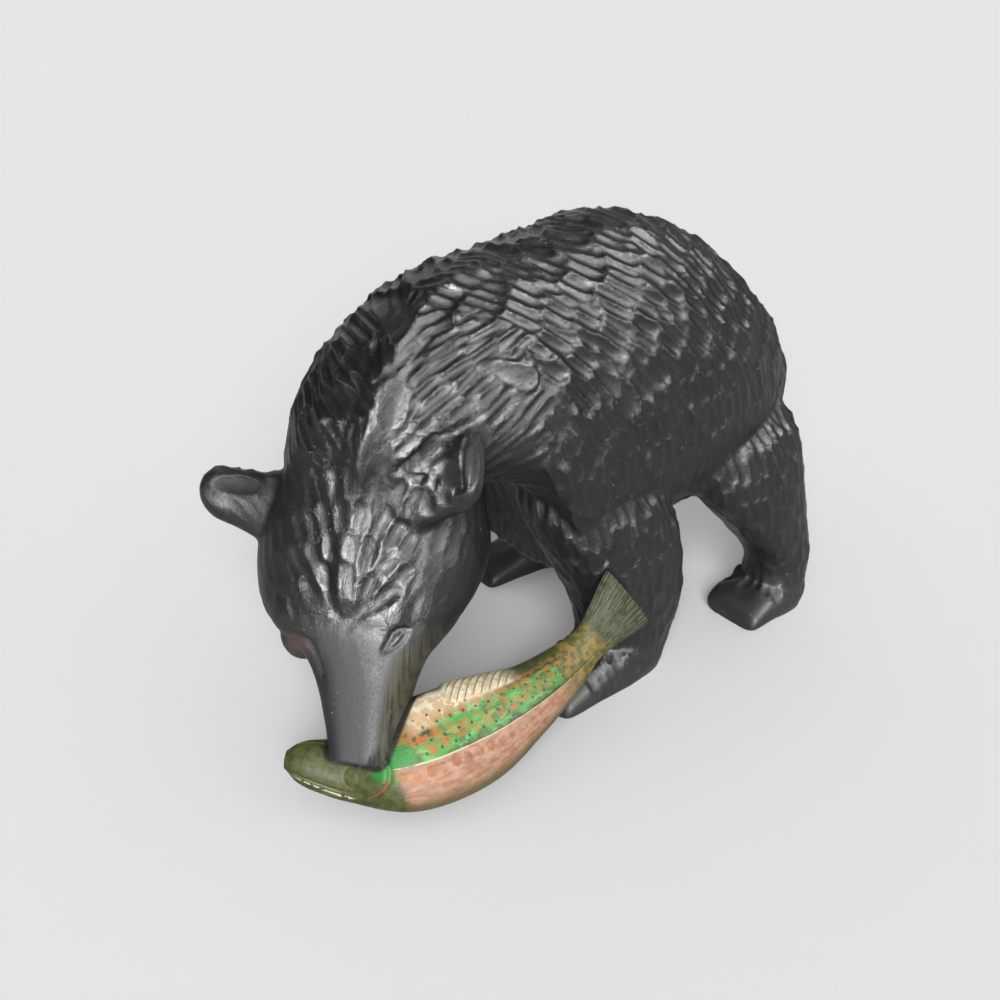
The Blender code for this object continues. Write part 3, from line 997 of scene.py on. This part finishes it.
def black_stain(look):
    """Black stain, darker in the grooves, with painted highlight lines on the ridges, painted shade in
    the ear hollows and under the jaws, and a little dust.
    """
    wood = Finish("black_stain")
    place = wood.place()
    ridge, smooth, hollow, lane = wood.kept("ridge", "smooth", "hollow", "lane")
    along, across = wood.kept("along_face", "across_face")
    mottle = wood.noise(place, 60.0, 4.0)
    fine = wood.noise(place, 900.0, 3.0)
    grain = wood.noise(wood.vector(across * 1.1, along * 0.05, mottle * 0.6), 1.0, 4.0, 0.6)
    # painted highlight: the ridges are lightened to show thin lines of gloss
    rubbed = ridge.between(0.6, 1.1) * (mottle.between(0.35, 0.65) * 0.6 + 0.4)
    specks = wood.cells(place, 420.0).between(0.16, 0.08)
    lot = wood.cells(place, 420.0, "Color")
    some = wood.node("ShaderNodeSeparateColor", values={"Color": lot}).between(0.86, 0.9)
    dust = specks * some * wood.noise(place, 25.0).between(0.42, 0.6)
    colour = wood.coats(
        look.stain,
        # painted highlight lines on the ridges
        (rubbed * 0.25, look.rubbed),
        # darker in the grooves, where the ridge measure falls below nought
        (ridge.between(-0.05, -0.7) * 0.6, look.deep),
        (mottle.between(0.5, 0.75) * 0.35, look.brown),
        # painted shade in the ear hollows and where the jaws meet the trout
        (hollow, [0.3 * c for c in look.deep]),
        (wood.kept("olive") * grain.between(0.35, 0.62) * 0.85, look.olive),
        (wood.kept("rust") * (fine.between(0.3, 0.7) * 0.5 + 0.4), look.rust),
        (dust * 0.35, look.dust),
    )
    roughness = look.roughness + (fine - 0.5) * 0.25 + (mottle - 0.5) * 0.2 - ridge * 0.05
    roughness = roughness + dust * 0.3 + hollow * 0.5 + smooth * 0.19
    tool = wood.noise(place, 350.0, 4.0, 0.6)
    score = wood.noise(wood.vector(lane * 1.5, mottle * 2.0), 1.0, 4.0, 0.65)
    height = (fine * 0.35 + tool * 0.3) * (1 - smooth * 0.6)
    height = height + score * (1 - smooth) * 0.6 + grain * smooth * 0.12
    normal = wood.bump(height, 0.00026)
    return wood.done(
        Base_Color=colour, Roughness=roughness, Normal=normal, Specular_IOR_Level=0.25
    )


def spots(paint, along, rise, at, pitch, shift, length, height, spread):
    """One row of painted spots that runs along the trout, each a little out of place."""
    step = along / pitch + shift
    luck = paint.chance(paint.vector(step.floor(), at))
    across = (rise - at + (luck - 0.5) * height * spread) / height
    down = (step.part() - 0.5 + (luck - 0.5) * 0.2) * (pitch / length)
    far = across * across + down * down
    return (far * (0.7 + 0.8 * luck)).between(1.15, 0.65) * (0.6 + 0.4 * luck)


def strongest(rows):
    """The most of several shares at each place."""
    first, *others = rows
    for row in others:
        first = first.most(row)
    return first


def trout_paint(look):
    """Old oil paint in bands along the fish, under a thin lacquer."""
    paint = Finish("trout_paint")
    place = paint.place()
    along, rise = paint.kept("along", "rise")
    brushed = paint.noise(paint.vector(along * 0.16, rise * 0.14), 1.0, 5.0, 0.65)
    patchy = paint.noise(place, 150.0, 4.0, 0.6)
    daubs = paint.noise(place, 330.0, 3.0, 0.6)
    fine = paint.noise(place, 900.0, 3.0)
    height = rise + (patchy - 0.5) * 22 + (daubs - 0.5) * 14
    line_at = -9 - (along - 50) * 0.12
    below = (rise - line_at + (daubs - 0.5) * 3).between(1.0, -1.0)
    body = (along + (patchy - 0.5) * 10).between(41, 46)
    gold = paint.mix(daubs.between(0.4, 0.6), look.gold, look.cream)
    wrist = paint.mix(daubs.between(0.4, 0.62), look.olive_light, look.wrist)

    # above the side line: olive back, gold shoulder, green stripe, orange spots with dark dots
    shoulder = along.within(46, 54, 74, 94) * height.within(16, 26, 62, 80)
    warm = body * height.within(-4, 4, 22, 40) * along.between(70, 56)
    stripe = height.between(-14, -4) * along.within(34, 42, 106, 120)
    stripe = stripe * height.between(14, 4).most(height.between(38, 24) * along.between(54, 66))
    gill_patch = along.within(33, 38, 45, 52) * height.within(-28, -14, 8, 26)
    warm_tail = (along + (patchy - 0.5) * 30).between(110, 124) * along.between(142, 132)
    spotted = (along + (patchy - 0.5) * 16).between(48, 58) * along.between(128, 114)
    shifted, lifted = along + (daubs - 0.5) * 5, rise + (patchy - 0.5) * 14 + (fine - 0.5) * 8
    orange = strongest(
        spots(paint, shifted, lifted, at, 5.4, shift, 2.4, 6.5, 0.9) * share
        for at, shift, share in ((4.0, 0.1, 1.0), (15.0, 0.6, 0.8), (30.0, 0.3, 1.0), (42.0, 0.75, 0.7))
    )
    dots = strongest(
        spots(paint, along, rise, at, 5.3, shift, 0.62, 2.2, 1.6)
        for at, shift in ((0.0, 0.35), (11.0, 0.85), (25.0, 0.15), (37.0, 0.6))
    )
    upper = paint.coats(
        paint.mix(daubs.between(0.35, 0.65), look.olive, look.olive_light),
        (shoulder * 0.95, gold),
        (warm * daubs.between(0.40, 0.56) * 0.85, look.orange),
        (stripe * (0.35 + 0.65 * patchy.between(0.42, 0.56)), look.green),
        (stripe * brushed.between(0.5, 0.62) * 0.6, look.light_green),
        (gill_patch * 0.9, look.deep_green),
        (warm_tail * 0.9, wrist),
        (orange * spotted * daubs.between(0.34, 0.54) * 0.9, look.orange),
        (dots * spotted * 0.9, look.black),
    )

    # below it: pink flank with a row of dashes, tan belly edge
    drop = rise + (along - 50) * 0.16
    dashes = spots(paint, along, drop, -19.0, 4.3, 0.2, 1.5, 7.0, 0.9) * along.between(98, 66)
    small = spots(paint, along, drop, -20.0, 3.2, 0.6, 0.7, 3.6, 1.2) * along.between(66, 80)
    dashes = (dashes * patchy.between(0.34, 0.5)).most(small * 0.5) * along.between(116, 104)
    blush = spots(paint, along, drop, -24.0, 3.6, 0.7, 1.9, 8, 1.0) * along.between(60, 50)
    lower = paint.coats(
        paint.mix(brushed.between(0.35, 0.6), look.pink, look.pink_light),
        (height.between(-44, -68) * 0.9, paint.mix(fine.between(0.4, 0.6), look.olive_light, look.tan)),
        (patchy.between(0.5, 0.62) * 0.3, look.tan),
        (dashes * daubs.between(0.3, 0.45), look.rust),
        (blush * 0.8, look.orange),
        (along.between(104, 124), wrist),
    )

    line = abs(rise - line_at + (patchy - 0.5) * 3).between(1.2, 0.4) * body * along.between(126, 112)
    gill = abs(along - gill_line(rise)).between(1.0, 0.3) * rise.within(-64, -44, -24, -10)
    # painted highlight: a cream glint along the lower edge of the head
    lower_glint = abs(rise + 56).between(4, 1) * along.within(3, 7, 22, 30)
    eye = ((along - TROUT_EYE[0]) / 2.6) ** 2.0 + ((rise - TROUT_EYE[1]) / 12) ** 2.0
    fin = along.within(*FIN_EDGES) * rise.between(34, 40)
    lean, pitch = FIN_RAYS
    ray = abs(((along - lean * rise) / pitch).part() - 0.5).between(0.34, 0.46)
    tail_ray = abs((rise / 5.5).part() - 0.5).between(0.3, 0.5)
    tail = paint.coats(
        paint.mix(brushed.between(0.3, 0.7), look.tail, look.olive),
        (tail_ray * daubs.between(0.35, 0.6) * 0.4, look.cream),
    )
    colour = paint.coats(
        upper,
        (below * body, lower),
        (line * brushed.between(0.3, 0.5) * 0.6, look.cream),
        (gill * 0.7, look.rust),
        # painted highlight along the lower edge of the head
        (lower_glint * daubs.between(0.42, 0.52) * 0.8, look.cream),
        (eye.between(1.4, 0.9) * 0.2, look.olive_light),
        (eye.between(0.35, 0.15) * 0.25, look.olive),
        (fin * 0.8, gold),
        (fin * ray * daubs.between(0.25, 0.5) * 0.8, look.brown),
        ((along + (patchy - 0.5) * 6).between(134, 142), tail),
        # painted shade: black on the trout where it lies close under the bear's jaws; then thin paint
        # worn to the wood
        (paint.kept("seam").between(3.2, 1.8) * 0.97, look.black),
        (daubs.between(0.55, 0.7) * 0.22, look.brown),
        (patchy.between(0.62, 0.7) * fine.between(0.4, 0.6) * 0.5, look.tan),
    )
    roughness = 0.48 + (fine - 0.5) * 0.2 + (brushed - 0.5) * 0.2
    strokes = paint.noise(paint.vector(along * 0.25, rise * 0.9), 1.0, 4.0, 0.6)
    normal = paint.bump(strokes * 0.6 + fine * 0.4 + daubs * 0.6 + line * 0.4, 0.00025)
    values = {"Base_Color": colour, "Roughness": roughness, "Normal": normal}
    return paint.done(**values, Specular_IOR_Level=0.08, Coat_Weight=0.02, Coat_Roughness=0.3)


def pale_floor(look):
    """A plain floor with the faintest cloud in it."""
    floor = Finish("pale_floor")
    grain = floor.noise(floor.place(), 8.0, 4.0)
    colour = floor.mix(grain * 0.06, look.floor, [0.95 * c for c in look.floor])
    return floor.done(Base_Color=colour, Roughness=0.9, Specular_IOR_Level=0.0)


# ---- settings


def number_of(name, description, default, kind=bpy.props.FloatProperty, **more):
    return kind(name=name, description=description, default=default, **more)


def count_of(name, description, default):
    return number_of(name, description, default, bpy.props.IntProperty, min=0)


def length_of(name, description, default):
    return number_of(name, description, default, unit="LENGTH", precision=5)


def angle_of(name, description, degrees):
    return number_of(name, description, math.radians(degrees), subtype="ANGLE")


def share_of(name, description, default, most=1.0):
    return number_of(name, description, default, min=0, max=most, subtype="FACTOR")


def colour_of(name, description, default):
    kind = bpy.props.FloatVectorProperty
    return number_of(name, description, default, kind, subtype="COLOR", min=0, max=1)


class BearShape(bpy.types.PropertyGroup):
    grain: length_of("Grain", "Size of the facets before they are thinned", 0.85 * U)
    rounding: count_of("Rounding", "Rounds of smoothing on the block", 8)
    broad_share: share_of("Broad strokes", "Depth of the broad strokes against the packed figure", 0.45)
    narrow_share: share_of("Narrow strokes", "Depth of the narrow gouge's strokes", 1.15, 2)
    triangles: count_of("Triangles", "Most triangles on the bear", 190000)


class StainLook(bpy.types.PropertyGroup):
    stain: colour_of("Stain", "Black stain on the wood", (0.0038, 0.0038, 0.0035))
    # colour of the painted highlight lines on the ridges
    rubbed: colour_of("Rubbed", "Ridges where the stain is rubbed thin", (0.035, 0.035, 0.033))
    # darker colour for the grooves; at 0.3 of it, also the painted shade in the ear hollows and under
    # the jaws
    deep: colour_of("Deep", "Stain that lies thick in the grooves", (0.0018, 0.0018, 0.0018))
    brown: colour_of("Brown", "Warm wood that shows through", (0.009, 0.0075, 0.0045))
    olive: colour_of("Olive", "Olive rubbed on the side of the muzzle", (0.05, 0.045, 0.018))
    rust: colour_of("Rust", "Reddish cheek", (0.055, 0.026, 0.019))
    dust: colour_of("Dust", "Flecks of dust", (0.35, 0.35, 0.32))
    roughness: share_of("Roughness", "Roughness of the waxed stain", 0.42)


class PaintLook(bpy.types.PropertyGroup):
    olive: colour_of("Olive", "Back and head", (0.026, 0.031, 0.009))
    olive_light: colour_of("Light olive", "Lighter strokes on the head", (0.052, 0.058, 0.015))
    gold: colour_of("Gold", "Shoulder and fin", (0.36, 0.29, 0.18))
    # cream also paints the highlight along the lower edge of the head
    cream: colour_of("Cream", "Side line and lights", (0.5, 0.46, 0.34))
    wrist: colour_of("Wrist", "Dull gold before the tail", (0.18, 0.12, 0.03))
    orange: colour_of("Orange", "Spots", (0.26, 0.092, 0.016))
    green: colour_of("Green", "Stripe along the side", (0.04, 0.18, 0.035))
    light_green: colour_of("Light green", "Lights in the stripe", (0.11, 0.33, 0.1))
    deep_green: colour_of("Deep green", "Patch behind the gill", (0.008, 0.13, 0.018))
    pink: colour_of("Pink", "Lower flank", (0.185, 0.088, 0.052))
    pink_light: colour_of("Light pink", "Lighter strokes on the flank", (0.27, 0.155, 0.1))
    tan: colour_of("Tan", "Edge of the belly", (0.085, 0.06, 0.036))
    rust: colour_of("Rust", "Dashes and gill edge", (0.16, 0.05, 0.014))
    brown: colour_of("Brown", "Rays of the fin", (0.045, 0.025, 0.009))
    tail: colour_of("Tail", "Tail fin", (0.014, 0.02, 0.009))
    # black also paints the shade in the seam under the jaws
    black: colour_of("Black", "Dots and the seam", (0.008, 0.008, 0.006))


class StageLook(bpy.types.PropertyGroup):
    floor: colour_of("Floor", "Pale floor", (0.45, 0.45, 0.454))
    ambient: number_of("Ambient", "Even light from all round", 0.8)
    behind: number_of("Behind", "Gloss from a soft light over the bear's shoulder", 13.0)
    low: number_of("Low", "Gloss from a soft low light in front of the face", 20.5)
    beyond: number_of("Beyond", "Gloss from a wide light on the far side", 1.1)
    front: number_of("Front", "Soft light beside the camera", 6.0)
    distance: length_of("Distance", "From the camera to the figure", 0.530)
    lens: number_of("Lens", "Focal length in millimetres", 46.8)
    turn: angle_of("Turn", "Camera's turn round the figure", 52)
    rise: angle_of("Rise", "Camera's height as an angle", 30)
    aim: bpy.props.FloatVectorProperty(
        name="Aim",
        description="Point that the camera looks at",
        default=(-0.00312, -0.01571, 0.080),
        subtype="TRANSLATION",
        unit="LENGTH",
    )


# ---- operators


def dress(item, material):
    """Puts a piece on the frame, shades it smoothly and gives it its material."""
    on_the_frame(item)
    item.data.polygons.foreach_set("use_smooth", np.ones(len(item.data.polygons), bool))
    item.data.materials.append(material)


class CARVING_OT_bear(bpy.types.Operator):
    """Carve the bear from its lofts and stain it black."""

    bl_idname = "carving.bear"
    bl_label = "Carve the bear"

    def execute(self, context):
        bear = bear_mesh(context.scene.bear_shape)
        if len(bear.data.polygons) < 1000:
            raise RuntimeError("the bear's block came out empty")
        dress(bear, black_stain(context.scene.stain_look))
        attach(bear, "root")
        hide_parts("bear_with_trout")
        return {"FINISHED"}


class CARVING_OT_trout(bpy.types.Operator):
    """Shape the trout in the jaws and paint it."""

    bl_idname = "carving.trout"
    bl_label = "Paint the trout"

    def execute(self, context):
        bear = bpy.data.objects.get("bear")
        if bear is None:
            raise RuntimeError("carve the bear first: the trout lies in its jaws")
        trout = trout_mesh()
        dress(trout, trout_paint(context.scene.paint_look))
        # the gap to the bear, which the paint reads to paint shade under the jaws
        store(trout.data, "seam", gap_between(trout, bear))
        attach(trout, "root")
        return {"FINISHED"}


FLOOR_REACH = 8
# Lamps that give gloss only: name, direction from the figure, width in degrees
LAMPS = (
    ("behind", (0.69, 0.28, 0.66), 34),
    ("low", (0.74, -0.63, 0.24), 26),
    ("beyond", (-0.68, 0.62, 0.38), 70),
)


class CARVING_OT_stage(bpy.types.Operator):
    """Set the pale floor, the soft lights and the camera."""

    bl_idname = "carving.stage"
    bl_label = "Set the stage"

    def execute(self, context):
        look = context.scene.stage_look
        mesh = bpy.data.meshes.new("floor")
        corners = [(-FLOOR_REACH, -FLOOR_REACH, 0), (FLOOR_REACH, -FLOOR_REACH, 0)]
        corners += [(FLOOR_REACH, FLOOR_REACH, 0), (-FLOOR_REACH, FLOOR_REACH, 0)]
        mesh.from_pydata(corners, [], [(0, 1, 2, 3)])
        mesh.materials.append(pale_floor(look))
        floor = placed("floor", mesh)
        ahead = Vector((math.sin(look.turn), -math.cos(look.turn), 0))
        back = ahead * math.cos(look.rise) + Vector((0, 0, math.sin(look.rise)))
        for name, place, spread in LAMPS + (("front", back, 34),):
            lamp = bpy.data.lights.new(name, "SUN")
            lamp.angle, lamp.energy = math.radians(spread), getattr(look, name)
            item = placed(name, lamp)
            item.visible_glossy = name != "front"
            item.visible_diffuse = name == "front"
            item.rotation_euler = (-Vector(place)).to_track_quat("-Z", "Y").to_euler()
        world = bpy.data.worlds.new("even_light")
        world.use_nodes = True
        sky = world.node_tree.nodes["Background"].inputs
        sky["Color"].default_value = (1, 1, 1, 1)
        sky["Strength"].default_value = look.ambient
        world.cycles_visibility.glossy = False
        context.scene.world = world
        lens = bpy.data.cameras.new("camera")
        lens.lens, lens.sensor_width, lens.clip_start = look.lens, 36, 0.01
        camera = placed("camera", lens)
        camera.location = Vector(look.aim) + back * look.distance
        camera.rotation_euler = (-back).to_track_quat("-Z", "Y").to_euler()
        context.scene.camera = camera
        context.scene.view_settings.view_transform = "Standard"
        return {"FINISHED"}


class CARVING_PT_bear(bpy.types.Panel):
    bl_idname = "CARVING_PT_bear"
    bl_label = "Carved bear"
    bl_space_type = "VIEW_3D"
    bl_region_type = "UI"
    bl_category = "Carving"

    def draw(self, context):
        for group in GROUPS:
            box = self.layout.box()
            settings = getattr(context.scene, group)
            for name in settings.__annotations__:
                box.prop(settings, name)
        for operator in OPERATORS:
            self.layout.operator(operator.bl_idname)


GROUPS = {
    "bear_shape": BearShape,
    "stain_look": StainLook,
    "paint_look": PaintLook,
    "stage_look": StageLook,
}
OPERATORS = (CARVING_OT_bear, CARVING_OT_trout, CARVING_OT_stage)
CLASSES = (*GROUPS.values(), *OPERATORS, CARVING_PT_bear)


def register():
    for kind in CLASSES:
        bpy.utils.register_class(kind)
    for name, kind in GROUPS.items():
        setattr(bpy.types.Scene, name, bpy.props.PointerProperty(type=kind))


def unregister():
    for name in GROUPS:
        delattr(bpy.types.Scene, name)
    for kind in reversed(CLASSES):
        bpy.utils.unregister_class(kind)


def main():
    register()
    bpy.ops.carving.bear()
    bpy.ops.carving.trout()
    bpy.ops.carving.stage()


if __name__ == "__main__":
    main()
